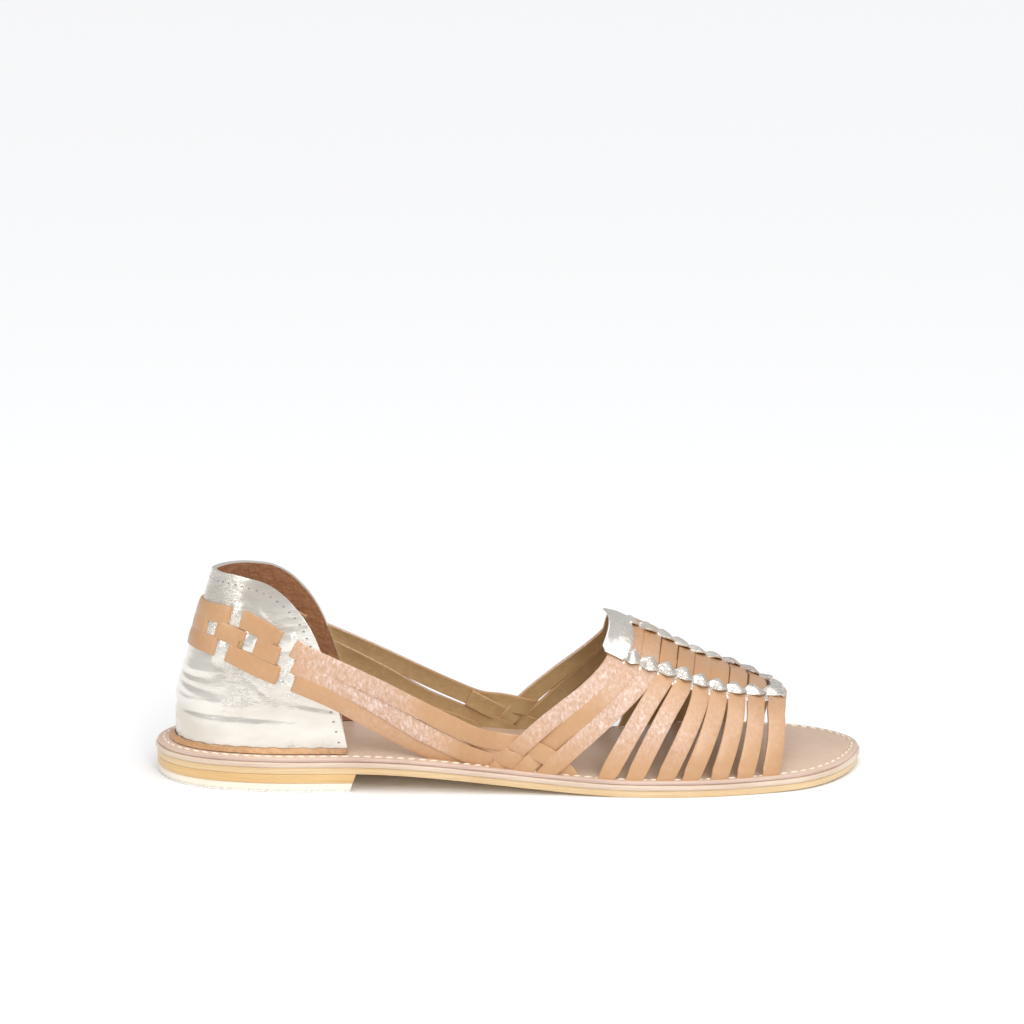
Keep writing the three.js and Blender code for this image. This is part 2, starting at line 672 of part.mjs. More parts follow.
addPiece('heel_top_piece', FINISH.rubber, soleLayer(TOP_PIECE_STEP, flat(0), flat(TOP_PIECE_THICKNESS),
  breastX - BREAST_SLANT / 2, BREAST_SLANT / 2));
addPiece('heel_lift', FINISH.lift, soleLayer(LIFT_STEP, flat(TOP_PIECE_THICKNESS), flat(HEEL_HEIGHT - SEAM),
  breastX, BREAST_SLANT / 2));
addPiece('outsole', FINISH.outsole, soleLayer(MIDSOLE_STEP, outsoleBottom,
  (x) => outsoleBottom(x) + OUTSOLE_THICKNESS));
addPiece('midsole', FINISH.midsole, soleLayer(0, midsoleBottom,
  (x) => midsoleBottom(x) + MIDSOLE_THICKNESS));
addPiece('insole', FINISH.insole, soleLayer(INSOLE_STEP, insoleBottom, insoleTop));
addPiece('counter_rand', FINISH.tan, toGeometry(toSolid(counterRand()).subtract(slits)));
addPiece('heel_counter', FINISH.metallic, toGeometry(toSolid(counterShell()).subtract(slits)));
addPiece('woven_upper', FINISH.tan, toGeometry(straps(0)
  .add(joined([innerRun(OUTER), innerRun(INNER)]))
  .subtract(footing)));
addPiece('vamp_lacing', FINISH.metallic, toGeometry(joined([
  outerRun(OUTER),
  outerRun(INNER),
  ridgePlate(0, TAB_LENGTH / 4, TAB_LENGTH, TAB_SWEEP),
  ridgePlate(lastStrap, LACE_WIDTH / 4, LACE_WIDTH, 0),
])));

export default sandal;
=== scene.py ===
import math
from bisect import bisect_right

import bpy
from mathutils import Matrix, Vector


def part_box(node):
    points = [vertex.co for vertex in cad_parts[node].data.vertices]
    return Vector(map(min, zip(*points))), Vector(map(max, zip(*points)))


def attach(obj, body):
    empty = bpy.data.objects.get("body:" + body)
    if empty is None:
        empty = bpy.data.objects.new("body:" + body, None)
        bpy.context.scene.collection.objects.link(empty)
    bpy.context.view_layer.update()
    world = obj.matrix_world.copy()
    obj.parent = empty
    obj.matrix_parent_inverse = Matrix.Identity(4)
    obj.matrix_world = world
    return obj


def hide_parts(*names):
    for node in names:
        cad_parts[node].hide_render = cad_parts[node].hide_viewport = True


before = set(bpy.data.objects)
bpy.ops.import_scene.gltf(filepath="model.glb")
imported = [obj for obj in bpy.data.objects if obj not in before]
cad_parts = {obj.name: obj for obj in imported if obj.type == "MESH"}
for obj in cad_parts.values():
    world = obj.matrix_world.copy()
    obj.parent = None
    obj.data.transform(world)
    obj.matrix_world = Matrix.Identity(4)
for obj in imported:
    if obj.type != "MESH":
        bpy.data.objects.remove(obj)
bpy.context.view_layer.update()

# Camera, floor and light. The shoe stands on a pale floor under a soft sky, a broad ceiling light and
# three soft lamps, and is seen from its outer side, a little from above and a metre away.
FOCAL_PIXELS = 2767
PICTURE_PIXELS = 1024
SENSOR = 36
CAMERA_PITCH = math.radians(11.6)
CAMERA_DISTANCE = 1.0
LOOKED_AT = Vector((0, -0.004, 0.03))
LOOKED_AT_PIXEL = (509.5, 688.5)

forward = Vector((0, math.cos(CAMERA_PITCH), -math.sin(CAMERA_PITCH)))
upward = Vector((0, math.sin(CAMERA_PITCH), math.cos(CAMERA_PITCH)))
middle = PICTURE_PIXELS / 2
ray = (
    forward
    + Vector((1, 0, 0)) * (LOOKED_AT_PIXEL[0] - middle) / FOCAL_PIXELS
    + upward * (middle - LOOKED_AT_PIXEL[1]) / FOCAL_PIXELS
).normalized()
bpy.ops.object.camera_add(
    location=LOOKED_AT - ray * CAMERA_DISTANCE, rotation=(math.pi / 2 - CAMERA_PITCH, 0, 0)
)
camera = bpy.context.object
camera.data.sensor_width = SENSOR
camera.data.lens = SENSOR * FOCAL_PIXELS / PICTURE_PIXELS
bpy.context.scene.camera = camera


def deselect():
    bpy.ops.object.select_all(action="DESELECT")


def soft_lamp(name, size, watts, place):
    deselect()
    bpy.ops.object.light_add(type="AREA", location=place)
    lamp = bpy.context.object
    lamp.name = name
    lamp.data.shape = "DISK"
    lamp.data.size = size
    lamp.data.energy = watts
    lamp.rotation_euler = (LOOKED_AT - Vector(place)).to_track_quat("-Z", "Y").to_euler()


soft_lamp("lamp_front", 0.45, 2.6, (0.3, -1.15, 0.8))
soft_lamp("lamp_heel", 0.3, 1.4, (-0.9, -0.6, 0.5))
soft_lamp("lamp_low", 0.4, 3.2, (0.42, -1.5, 0.5))
bpy.ops.object.light_add(type="SUN", rotation=(math.radians(24), math.radians(14), 0))
sun = bpy.context.object
sun.name = "lamp_ceiling"
sun.data.energy = 1.9
sun.data.angle = math.radians(70)
sky = bpy.data.worlds.new("studio")
bpy.context.scene.world = sky
sky.use_nodes = True
sky_light = sky.node_tree.nodes["Background"].inputs
sky_light["Color"].default_value = (0.97, 0.98, 1, 1)
sky_light["Strength"].default_value = 0.52
bpy.context.scene.view_settings.view_transform = "Standard"

FLOOR_WIDTH = 80
deselect()
bpy.ops.mesh.primitive_plane_add(size=FLOOR_WIDTH)
floor = bpy.context.object
floor.name = "floor"
floor_paint = bpy.data.materials.new("floor_paint")
floor_paint.use_nodes = True
floor_look = floor_paint.node_tree.nodes["Principled BSDF"].inputs
floor_look["Base Color"].default_value = (0.92, 0.92, 0.92, 1)
floor_look["Roughness"].default_value = 0.9
floor.data.materials.append(floor_paint)

# Sole: outsole and midsole of natural vegetable-tanned leather, cut to one outline, cemented and
# trimmed together, so that their edges show the fine lines of the leather's fibres.
MM = 0.001
EDGE_ROUND = 0.3 * MM
GLUE_LINE = 0.28 * MM
SAME_POINT = 0.01 * MM
SAME_PLANE = math.radians(0.5)
FACES_UP = 0.7
OUTSOLE_PALE, OUTSOLE_DEEP = (0.78, 0.6, 0.36), (0.64, 0.43, 0.22)
MIDSOLE_PALE, MIDSOLE_DEEP = (0.76, 0.63, 0.5), (0.58, 0.43, 0.33)


class Field:
    """A shader value that adds, subtracts and multiplies as a number does."""

    def __init__(self, finish, socket):
        self.finish = finish
        self.socket = socket

    def maths(self, operation, first, second=0.5):
        return self.finish.node("Math", {"operation": operation}, {0: first, 1: second})

    def __add__(self, other):
        return self.maths("ADD", self, other)

    def __sub__(self, other):
        return self.maths("SUBTRACT", self, other)

    def __rsub__(self, other):
        return self.maths("SUBTRACT", other, self)

    def __mul__(self, other):
        return self.maths("MULTIPLY", self, other)

    def __abs__(self):
        return self.maths("ABSOLUTE", self)

    __radd__ = __add__
    __rmul__ = __mul__


class Finish:
    """A material whose nodes are added one by one, each giving back its output as a Field."""

    def __init__(self, name, roughness, metallic=0.0, **sockets):
        self.material = bpy.data.materials.new(name)
        self.material.use_nodes = True
        self.nodes = self.material.node_tree.nodes
        self.shader = self.nodes["Principled BSDF"]
        self.feed(self.shader.inputs["Roughness"], roughness)
        self.feed(self.shader.inputs["Metallic"], metallic)
        for socket, value in sockets.items():
            self.feed(self.shader.inputs[socket.replace("_", " ")], value)

    def feed(self, socket, value):
        if isinstance(value, Field):
            self.material.node_tree.links.new(value.socket, socket)
        elif isinstance(value, tuple) and len(value) == 3 and socket.type == "RGBA":
            socket.default_value = (*value, 1)
        else:
            socket.default_value = value

    def node(self, kind, settings=None, sockets=None, output=0):
        made = self.nodes.new("ShaderNode" + kind)
        for key, value in (settings or {}).items():
            setattr(made, key, value)
        for key, value in (sockets or {}).items():
            self.feed(made.inputs[key], value)
        return Field(self, made.outputs[output])

    def place(self, stretch=(1, 1, 1), uv=False):
        where = self.node("TexCoord", output=2 if uv else 3)
        return self.node("Mapping", sockets={"Vector": where, "Scale": stretch})

    def noise(self, scale, detail=3, where=None):
        where = where or self.place()
        return self.node("TexNoise", sockets={"Vector": where, "Scale": scale, "Detail": detail})

    def cells(self, scale):
        return self.node("TexVoronoi", sockets={"Vector": self.place(), "Scale": scale})

    def between(self, value, low, high):
        settings = {"clamp": True}
        return self.node("MapRange", settings, {"Value": value, "From Min": low, "From Max": high})

    def mix(self, factor, first, second):
        return self.node("Mix", {"data_type": "RGBA"}, {0: factor, 6: first, 7: second}, output=2)

    def relief(self, height, depth):
        return self.node("Bump", sockets={"Height": height, "Distance": depth, "Strength": 1.0})

    def paint(self, colour=None, roughness=None, normal=None):
        for socket, value in (("Base Color", colour), ("Roughness", roughness), ("Normal", normal)):
            if value is not None:
                self.feed(self.shader.inputs[socket], value)
        return self.material


def sole_edge_finish(name, pale, deep, shine):
    finish = Finish(name, roughness=shine, Coat_Weight=0.25, Coat_Roughness=0.25)
    fibres = finish.noise(60, 5, finish.place((1, 1, 28)))
    blotches = finish.noise(28, 3)
    colour = finish.mix(finish.between(fibres * 0.55 + blotches * 0.55, 0.38, 0.72), deep, pale)
    stain = finish.between(finish.noise(9, 2, finish.place((1, 1, 3))), 0.52, 0.75)
    colour = finish.mix(stain * 0.35, colour, deep)
    rough = finish.between(fibres, 0.2, 0.9) * 0.25 + (shine - 0.1)
    return finish.paint(colour, rough, finish.relief(fibres, 0.00035))


def copy_of(node, name):
    """The CAD piece's own form as a new mesh, its triangles merged and its flats made whole."""
    deselect()
    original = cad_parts[node]
    original.select_set(True)
    bpy.context.view_layer.objects.active = original
    bpy.ops.object.duplicate()
    piece = bpy.context.object
    for key in [key for key in piece.keys() if key.startswith("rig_")]:
        del piece[key]
    piece.parent = None
    piece.name = name
    piece.data.materials.clear()
    bpy.ops.object.mode_set(mode="EDIT")
    bpy.ops.mesh.select_all(action="SELECT")
    bpy.ops.mesh.remove_doubles(threshold=SAME_POINT)
    bpy.ops.mesh.dissolve_limited(angle_limit=SAME_PLANE)
    bpy.ops.object.mode_set(mode="OBJECT")
    return piece


def apply_modifier(piece, kind, **settings):
    deselect()
    piece.select_set(True)
    bpy.context.view_layer.objects.active = piece
    modifier = piece.modifiers.new(kind.lower(), kind)
    for key, value in settings.items():
        setattr(modifier, key, value)
    bpy.ops.object.modifier_apply(modifier=modifier.name)


def smooth(piece, degrees=40):
    deselect()
    piece.select_set(True)
    bpy.context.view_layer.objects.active = piece
    bpy.ops.object.shade_smooth_by_angle(angle=math.radians(degrees))


def round_edges(piece, width, degrees=50):
    apply_modifier(
        piece, "BEVEL", width=width, segments=2, limit_method="ANGLE", angle_limit=math.radians(degrees),
    )


def belong(piece, node, slot, material):
    piece.data.materials.clear()
    piece.data.materials.append(material)
    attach(piece, "root")
    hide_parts(node)


def sole_layer(node, name):
    """A layer of the sole with its top raised to meet the layer above, and its edges rounded."""
    layer = copy_of(node, name)
    bpy.ops.object.mode_set(mode="EDIT")
    bpy.ops.mesh.select_all(action="DESELECT")
    bpy.ops.object.mode_set(mode="OBJECT")
    for face in layer.data.polygons:
        face.select = face.normal.z > FACES_UP
    bpy.ops.object.mode_set(mode="EDIT")
    bpy.ops.transform.translate(value=(0, 0, GLUE_LINE))
    bpy.ops.object.mode_set(mode="OBJECT")
    round_edges(layer, EDGE_ROUND)
    smooth(layer)
    return layer


outsole_finish = sole_edge_finish("outsole_edge", OUTSOLE_PALE, OUTSOLE_DEEP, 0.42)
midsole_finish = sole_edge_finish("midsole_edge", MIDSOLE_PALE, MIDSOLE_DEEP, 0.45)
for node, slot, material in (
    ("outsole", "sole_leather", outsole_finish),
    ("midsole", "midsole_leather", midsole_finish),
):
    belong(sole_layer(node, node + "_leather"), node, slot, material)

# Heel: one stacked leather lift, deeper in colour, and a pale rubber top piece fixed under it,
# whose lower edge is finely ribbed and paler where it meets the floor.
LIFT_PALE, LIFT_DEEP = (0.76, 0.52, 0.24), (0.62, 0.38, 0.15)
RUBBER, SOILED_RUBBER, CLEAN_RUBBER = (0.86, 0.8, 0.68), (0.74, 0.62, 0.46), (0.93, 0.92, 0.88)
RIB_SCALE = 900
RIB_FROM, RIB_TO = 0.6 * MM, 1.1 * MM

lift_finish = sole_edge_finish("lift_edge", LIFT_PALE, LIFT_DEEP, 0.4)
belong(sole_layer("heel_lift", "heel_lift_leather"), "heel_lift", "lift_leather", lift_finish)

rubber = Finish("top_piece_rubber", roughness=0.6)
ribs = rubber.noise(RIB_SCALE, 1, rubber.place((1, 1, 0.05)))
height = rubber.node("SeparateXYZ", sockets={0: rubber.place()}, output=2)
low = 1 - rubber.between(height, RIB_FROM, RIB_TO)
soil = rubber.between(rubber.noise(45, 4), 0.42, 0.8)
rubber_colour = rubber.mix(soil * 0.35, RUBBER, SOILED_RUBBER)
rubber_colour = rubber.mix(low * 0.6, rubber_colour, CLEAN_RUBBER)
rubber.paint(rubber_colour, normal=rubber.relief(ribs * low, 0.0012))
top_piece = copy_of("heel_top_piece", "heel_top_piece_rubber")
round_edges(top_piece, EDGE_ROUND)
smooth(top_piece)
belong(top_piece, "heel_top_piece", "top_piece_rubber", rubber.material)

# Insole: a pinkish-tan leather footbed glued over the midsole, with a pinker cut rim, and stitched
# all round in cream thread a little way in from that rim.
INSOLE_ROUND = 0.45 * MM
INSOLE_TAN, INSOLE_DARK, INSOLE_LIGHT = (0.68, 0.5, 0.37), (0.58, 0.41, 0.3), (0.8, 0.64, 0.5)
RIM_PALE, RIM_DEEP = (0.7, 0.55, 0.46), (0.5, 0.33, 0.27)
RIM_FACES = 0.4
STITCH_IN = 2.2 * MM
STITCH_PITCH = 3.9 * MM
STITCH_LENGTH = 2.9 * MM
STITCH_WIDTH = 0.8 * MM
STITCH_HEIGHT = 0.7 * MM
STITCH_LIFT = 0.05 * MM
THREAD_SHADE, THREAD_CREAM = (0.74, 0.62, 0.48), (0.93, 0.87, 0.76)
SAME_STATION = 0.05 * MM
SAME_TOP = 0.1 * MM
LEAST_WAY = 0.0001 * MM


def read(rows, at, column):
    """Smooth value of a table's column at a place in its first column."""
    keys = [row[0] for row in rows]
    last = len(rows) - 1
    if at <= keys[0]:
        return rows[0][column]
    if at >= keys[last]:
        return rows[last][column]
    i = bisect_right(keys, at) - 1
    run = keys[i + 1] - keys[i]
    u = (at - keys[i]) / run
    rise = rows[i + 1][column] - rows[i][column]

    def slope(n):
        a, b = max(n - 1, 0), min(n + 1, last)
        return (rows[b][column] - rows[a][column]) / (keys[b] - keys[a])

    bend = slope(i) * run - rise
    unbend = rise - slope(i + 1) * run
    return rows[i][column] + rise * u + u * (1 - u) * (bend * (1 - u) + unbend * u)


def edge_rows(node, margin):
    """The node's upper rim as rows of way, x, y and height; way runs from the back of the heel,
    below zero on the outer side. The rim is moved in by margin, a function of x."""
    tops = {}
    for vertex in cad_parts[node].data.vertices:
        x, y, z = vertex.co
        tops.setdefault(round(x / SAME_STATION), []).append((x, y, z))
    stations = []
    for key in sorted(tops):
        top = max(p[2] for p in tops[key])
        ys = [p[1] for p in tops[key] if p[2] > top - SAME_TOP]
        stations.append((tops[key][0][0], min(ys), max(ys), top))
    outer = [Vector((x, low, z)) for x, low, high, z in stations]
    inner = [Vector((x, high, z)) for x, low, high, z in stations]
    loop = list(reversed(outer)) + inner[1:]
    moved = []
    for n, point in enumerate(loop):
        run = loop[min(n + 1, len(loop) - 1)] - loop[max(n - 1, 0)]
        inward = Vector((run.y, -run.x, 0)).normalized() * margin(point.x)
        if n in (0, len(loop) - 1):
            inward = Vector((-margin(point.x), 0, 0))
        moved.append(point + inward)
    way = [0.0]
    for a, b in zip(moved, moved[1:]):
        way.append(way[-1] + max((b - a).length, LEAST_WAY))
    heel = way[len(outer) - 1]
    return [(w - heel, p.x, p.y, p.z) for w, p in zip(way, moved)]


def skin_finish(name, base, dark, light, grain, gloss, crease, pores):
    """Smooth leather with soft blotches, fine grain cells and creases."""
    finish = Finish(name, roughness=gloss, Coat_Weight=0.12, Coat_Roughness=0.3)
    blotch = finish.noise(26, 4)
    speck = finish.noise(420, 3)
    colour = finish.mix(finish.between(blotch, 0.35, 0.7), dark, base)
    colour = finish.mix(finish.between(speck, 0.5, 0.85) * 0.35, colour, light)
    pore = finish.cells(pores)
    folds = finish.noise(150, 4, finish.place((1, 1, 1.8)))
    height = pore * grain + finish.between(folds, 0.3, 0.7) * crease
    rough = finish.between(speck, 0.2, 0.9) * 0.22 + (gloss - 0.1)
    return finish.paint(colour, rough, finish.relief(height, 0.00022))


insole_finish = skin_finish(
    "insole_leather", INSOLE_TAN, INSOLE_DARK, INSOLE_LIGHT, grain=0.25, gloss=0.42, crease=0.2, pores=900
)
rim_finish = sole_edge_finish("insole_rim", RIM_PALE, RIM_DEEP, 0.5)
insole = copy_of("insole", "insole_leather")
round_edges(insole, INSOLE_ROUND)
smooth(insole)
belong(insole, "insole", "insole_leather", insole_finish)
insole.data.materials.append(rim_finish)
for face in insole.data.polygons:
    face.material_index = 1 if abs(face.normal.z) < RIM_FACES else 0

thread = Finish("cream_thread", roughness=0.7)
twist = thread.noise(700, 2, thread.place((1, 0.3, 0.3)))
thread.paint(thread.mix(twist, THREAD_SHADE, THREAD_CREAM), normal=thread.relief(twist, 0.0004))


def stitch_row(name, places, length, width, height):
    """A joined mesh of rounded stitches, one laid at each place along its run and off its surface."""
    deselect()
    bpy.ops.mesh.primitive_uv_sphere_add(segments=8, ring_count=6, radius=1)
    first = bpy.context.object
    first.scale = (length / 2, width / 2, height / 2)
    bpy.ops.object.transform_apply(location=False, rotation=False, scale=True)
    copies = []
    for point, run, up in places:
        stitch = first.copy()
        stitch.data = first.data.copy()
        bpy.context.scene.collection.objects.link(stitch)
        side = up.cross(run).normalized()
        along = side.cross(up).normalized()
        for vertex in stitch.data.vertices:
            x, y, z = vertex.co
            vertex.co = point + along * x + side * y + up * z
        copies.append(stitch)
    bpy.data.objects.remove(first)
    deselect()
    for stitch in copies:
        stitch.select_set(True)
    bpy.context.view_layer.objects.active = copies[0]
    bpy.ops.object.join()
    row = bpy.context.object
    row.name = name
    smooth(row, 80)
    return row


stitch_line = edge_rows("insole", lambda x: STITCH_IN)
start, end = stitch_line[0][0], stitch_line[-1][0]
stitches = []
for n in range(int((end - start) / STITCH_PITCH)):
    way = start + (n + 0.5) * STITCH_PITCH
    here = Vector([read(stitch_line, way, column) for column in (1, 2, 3)])
    ahead = Vector([read(stitch_line, way + MM, column) for column in (1, 2, 3)])
    stitches.append((here + Vector((0, 0, STITCH_LIFT)), ahead - here, Vector((0, 0, 1))))
insole_stitches = stitch_row("insole_stitches", stitches, STITCH_LENGTH, STITCH_WIDTH, STITCH_HEIGHT)
insole_stitches.data.materials.append(thread.material)
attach(insole_stitches, "root")

# Counter: metallic foil-coated leather moulded round the heel and lined in brown, open in front,
# with the long straps threaded through slits. It creases where the heel presses it down.
HEEL_MARGIN = 7.3 * MM
BALL_MARGIN = 3 * MM
SOLE_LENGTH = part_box("midsole")[1].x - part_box("midsole")[0].x
HEEL_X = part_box("midsole")[0].x
INSTEP = 59 * MM
ANKLE = 104 * MM
COUNTER_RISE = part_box("heel_counter")[1].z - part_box("insole")[1].z
COUNTER_LEAN = 14.5 * MM
COUNTER_WALL = 1.8 * MM
COUNTER_ROUND = 0.4 * MM
SEAM = 0.3 * MM
ARCH = 1 / 1.1
NEAR = 0.5 * MM
NEAR_CLIMB = 0.01
HEEL_CENTRE = 0.12
LINING, LINING_DARK, LINING_LIGHT = (0.43, 0.21, 0.1), (0.3, 0.13, 0.06), (0.6, 0.36, 0.2)
# columns: share of the sole's length, height of the ridge above the floor
RIDGE = [
    (0, ANKLE),
    (0.3, ANKLE),
    (0.42, 0.87 * ANKLE),
    (0.52, 0.74 * ANKLE),
    (0.6, 1.06 * INSTEP),
    (0.65, 0.965 * INSTEP),
    (0.7, 0.87 * INSTEP),
    (0.76, 0.705 * INSTEP),
    (0.82, 0.6 * INSTEP),
    (0.89, 0.465 * INSTEP),
    (1, 0.3 * INSTEP),
]
# columns: share of the sole's length, share of the counter's rise
TOP_LINE = [
    (0, 1), (0.06, 0.998), (0.093, 0.985), (0.126, 0.965), (0.152, 0.93), (0.178, 0.875), (0.203, 0.795),
    (0.221, 0.71), (0.235, 0.61), (0.248, 0.48), (0.26, 0.32), (0.27, 0.15), (0.276, 0.03),
]
# columns: share of the counter's rise, share of its lean
SLOPE = [(0, 0), (0.3, 0.06), (0.55, 0.4), (1, 1)]


def step(value, low, high):
    u = min(max((value - low) / (high - low), 0), 1)
    return u * u * (3 - 2 * u)


def share(x):
    return (x - HEEL_X) / SOLE_LENGTH


def at_share(along):
    return HEEL_X + along * SOLE_LENGTH


foot_line = edge_rows(
    "midsole", lambda x: HEEL_MARGIN + (BALL_MARGIN - HEEL_MARGIN) * step(share(x), 0.2, 0.6)
)
insole_rows = edge_rows("insole", lambda x: 0)
outer_half = [row for row in foot_line if row[0] <= 0][::-1]
inner_half = [row for row in foot_line if row[0] >= 0]
outer_by_x = [(x, y, -way) for way, x, y, z in outer_half]
inner_by_x = [(x, y, way) for way, x, y, z in inner_half]
height_by_x = [(x, z) for way, x, y, z in insole_rows if way >= 0]


def way_to(along):
    return read(outer_by_x, at_share(along), 2)


def foot(way):
    return read(foot_line, way, 1), read(foot_line, way, 2)


def insole_top(x):
    return read(height_by_x, x, 1)


def ridge(x):
    return read(RIDGE, share(x), 1) - insole_top(x)


def middle_at(x):
    return (read(outer_by_x, x, 1) + read(inner_by_x, x, 1)) / 2


def vamp_point(x, climb):
    """The last over the foot: climb is 1 at the foot line, 0 on the ridge, below zero outside."""
    up = (1 - abs(climb)) * math.pi / 2
    half = (read(inner_by_x, x, 1) - read(outer_by_x, x, 1)) / 2
    across = math.copysign(half * max(math.cos(up), 0) ** ARCH, climb)
    rise = ridge(x) * (math.sin(up) if up > 0 else up)
    return Vector((x, middle_at(x) + across, insole_top(x) + rise))


HEEL_AXIS = foot(0)[1]


def wall_point(way, up):
    """The last round the heel and along the quarters, at a way along the foot line and a height."""
    x, y = foot(way)
    narrow = max(1 - (max(up, 0) / ridge(x)) ** 2, 0.01) ** (ARCH / 2)
    back = 1 - step(share(x), 0.02, 0.29)
    lean = COUNTER_LEAN * read(SLOPE, up / COUNTER_RISE, 1) * back
    axis = middle_at(x) * (1 - back) + HEEL_AXIS * back
    return Vector((x + lean, axis + (y - axis) * narrow, insole_top(x) + up))


def off_surface(surface, a, b, step_a, step_b, out):
    """A point of a surface moved out along its normal, with that normal."""
    here = surface(a, b)
    run = surface(a + step_a, b) - surface(a - step_a, b)
    rise = surface(a, b + step_b) - surface(a, b - step_b)
    normal = run.cross(rise).normalized()
    if share(here.x) < HEEL_CENTRE:
        centre = Vector((at_share(HEEL_CENTRE), HEEL_AXIS, here.z))
    else:
        centre = Vector((here.x, middle_at(here.x), insole_top(here.x)))
    if normal.dot(here - centre) < 0:
        normal.negate()
    return here + normal * out, normal


def on_wall(way, up, out):
    return off_surface(wall_point, way, up, NEAR, NEAR, out)


def laid_sheet(name, along_cells, across_cells, place):
    """A flat sheet laid over the last: place gives each point from -1 to 1 along and across."""
    deselect()
    bpy.ops.mesh.primitive_grid_add(x_subdivisions=along_cells, y_subdivisions=across_cells, size=2)
    sheet = bpy.context.object
    sheet.name = name
    for vertex in sheet.data.vertices:
        vertex.co = place(vertex.co.x, vertex.co.y)
    sheet.data.update()
    return sheet


def face_outwards(piece):
    deselect()
    piece.select_set(True)
    bpy.context.view_layer.objects.active = piece
    bpy.ops.object.mode_set(mode="EDIT")
    bpy.ops.mesh.select_all(action="SELECT")
    bpy.ops.mesh.normals_make_consistent(inside=False)
    bpy.ops.object.mode_set(mode="OBJECT")


# columns: way along the foot line, height up the wall, length, breadth and depth, all in mm, and tilt
CREASES = [
    (-24, 13, 40, 1.5, 0.55, 0.02),
    (-24, 16.5, 34, 2.2, -0.3, 0.04),
    (-6, 19, 16, 1.3, 0.3, 0.12),
    (-12, 22, 14, 1.2, 0.28, 0.1),
    (-9, 25.5, 12, 1.1, 0.25, 0.05),
    (-16, 28, 10, 1.4, -0.25, -0.05),
    (-50, 27, 16, 1.6, 0.35, 0.45),
    (-56, 24, 12, 1.8, -0.35, 0.35),
    (-62, 17, 14, 1.4, 0.35, 0.2),
    (-40, 24, 10, 1.2, 0.25, 0.7),
    (-36, 50, 10, 1.5, 0.3, 0.8),
    (-32, 53, 9, 1.3, -0.25, 0.7),
    (24, 13, 30, 2.0, 0.6, -0.05),
    (16, 23, 16, 1.8, 0.4, 0.1),
    (52, 26, 12, 2.0, -0.3, -0.4),
]
STRAP_WIDTH = 6.3 * MM
# columns: share of the sole's length, height in shares of the counter's rise, half the bar's breadth;
# one list of bars for each long strap, top one first
BARS = [
    [(0.091, 0.765, 3.1), (0.184, 0.633, 3.2)],
    [(0.057, 0.69, 2.9), (0.1235, 0.625, 2.9), (0.186, 0.54, 3.4)],
    [(0.081, 0.58, 3.1), (0.1885, 0.432, 3.4)],
]
BAR_RISE = 0.75 * MM


def crease_depth(way, up):
    """How far the creases push the counter in at a place."""
    depth = 0.0
    for centre, height, length, breadth, deep, tilt in CREASES:
        along = (way / MM - centre) / length
        across = (up / MM - height - tilt * (way / MM - centre)) / breadth
        if abs(along) < 2 and abs(across) < 3:
            depth += deep * MM * math.exp(-along * along * 2 - across * across)
    return depth


def bar_rise(way, up):
    """How far the counter stands out where a strap passes behind one of its bars."""
    most = 0.0
    for bars in BARS:
        for along, height, half in bars:
            beside = (abs(way) - way_to(along)) / (half * MM)
            above = (up - height * COUNTER_RISE) / (0.6 * STRAP_WIDTH)
            if abs(beside) < 2 and abs(above) < 2:
                most = max(most, math.exp(-beside ** 6) * math.exp(-above ** 4))
    return most * BAR_RISE


COUNTER_END = way_to(TOP_LINE[-1][0])


def counter_place(u, v):
    way = COUNTER_END * math.sin(u * math.pi / 2)
    top = read(TOP_LINE, share(foot(-abs(way))[0]), 1) * COUNTER_RISE
    up = SEAM + (top - SEAM) * (v + 1) / 2
    edge = min(1, (1 - abs(v)) * 5)
    out = (bar_rise(way, up) - crease_depth(way, up)) * edge
    return on_wall(way, up, out)[0]


def foil_finish(name, smooth_share, crackled_share):
    """Foil-coated leather: pearly and softly folded, with painted light on the folds' ridges and painted
    shade in their hollows, and crackled in patches with grey cracks and painted white glints on the flakes
    between them.
    """
    foil = Finish(name, roughness=0.28, metallic=0.75)
    wrinkles = foil.noise(230, 6, foil.place((0.7, 0.7, 2)))
    fine_wrinkles = foil.noise(620, 5, foil.place((0.8, 0.8, 1.6)))
    crinkle = foil.between(abs(fine_wrinkles - 0.5), 0.0, 0.09)
    patches = foil.between(foil.noise(30, 4), smooth_share, crackled_share)
    soft_folds = foil.noise(42, 3, foil.place((0.7, 0.7, 1.4)))
    # Painted light and shade: the colour follows the soft folds' height, lighter on their ridges and darker
    # in their hollows.
    colour = foil.mix(foil.between(soft_folds, 0.35, 0.65), (0.7, 0.64, 0.56), (0.9, 0.86, 0.79))
    colour = foil.mix(patches * (1 - crinkle) * 0.8, colour, (0.36, 0.32, 0.28))
    # Painted glints: the raised flakes between the grey cracks are whitened.
    colour = foil.mix(patches * crinkle * 0.35, colour, (0.97, 0.95, 0.93))
    rough = foil.between(wrinkles, 0.3, 0.75) * 0.16 + 0.13 + patches * (1 - crinkle) * 0.3
    height = wrinkles * (patches * 0.9 + 0.2) + crinkle * patches * 0.35 + soft_folds
    return foil.paint(colour, rough, foil.relief(height, 0.00042))


counter_foil = foil_finish("metallic_leather", 0.5, 0.74)
lining_finish = skin_finish(
    "lining_leather", LINING, LINING_DARK, LINING_LIGHT, grain=0.9, gloss=0.4, crease=0.9, pores=700
)

counter = laid_sheet("counter_metallic", 260, 100, counter_place)
face_outwards(counter)
counter.data.materials.append(counter_foil)
counter.data.materials.append(lining_finish)
middle_face = counter.data.polygons[len(counter.data.polygons) // 2]
away = middle_face.center - Vector((at_share(HEEL_CENTRE), HEEL_AXIS, middle_face.center.z))
if middle_face.normal.dot(away) < 0:
    counter.data.flip_normals()
apply_modifier(
    counter, "SOLIDIFY", thickness=COUNTER_WALL, offset=-1, material_offset=1, material_offset_rim=0,
)
round_edges(counter, COUNTER_ROUND, degrees=60)
smooth(counter, 50)
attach(counter, "root")
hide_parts("heel_counter")

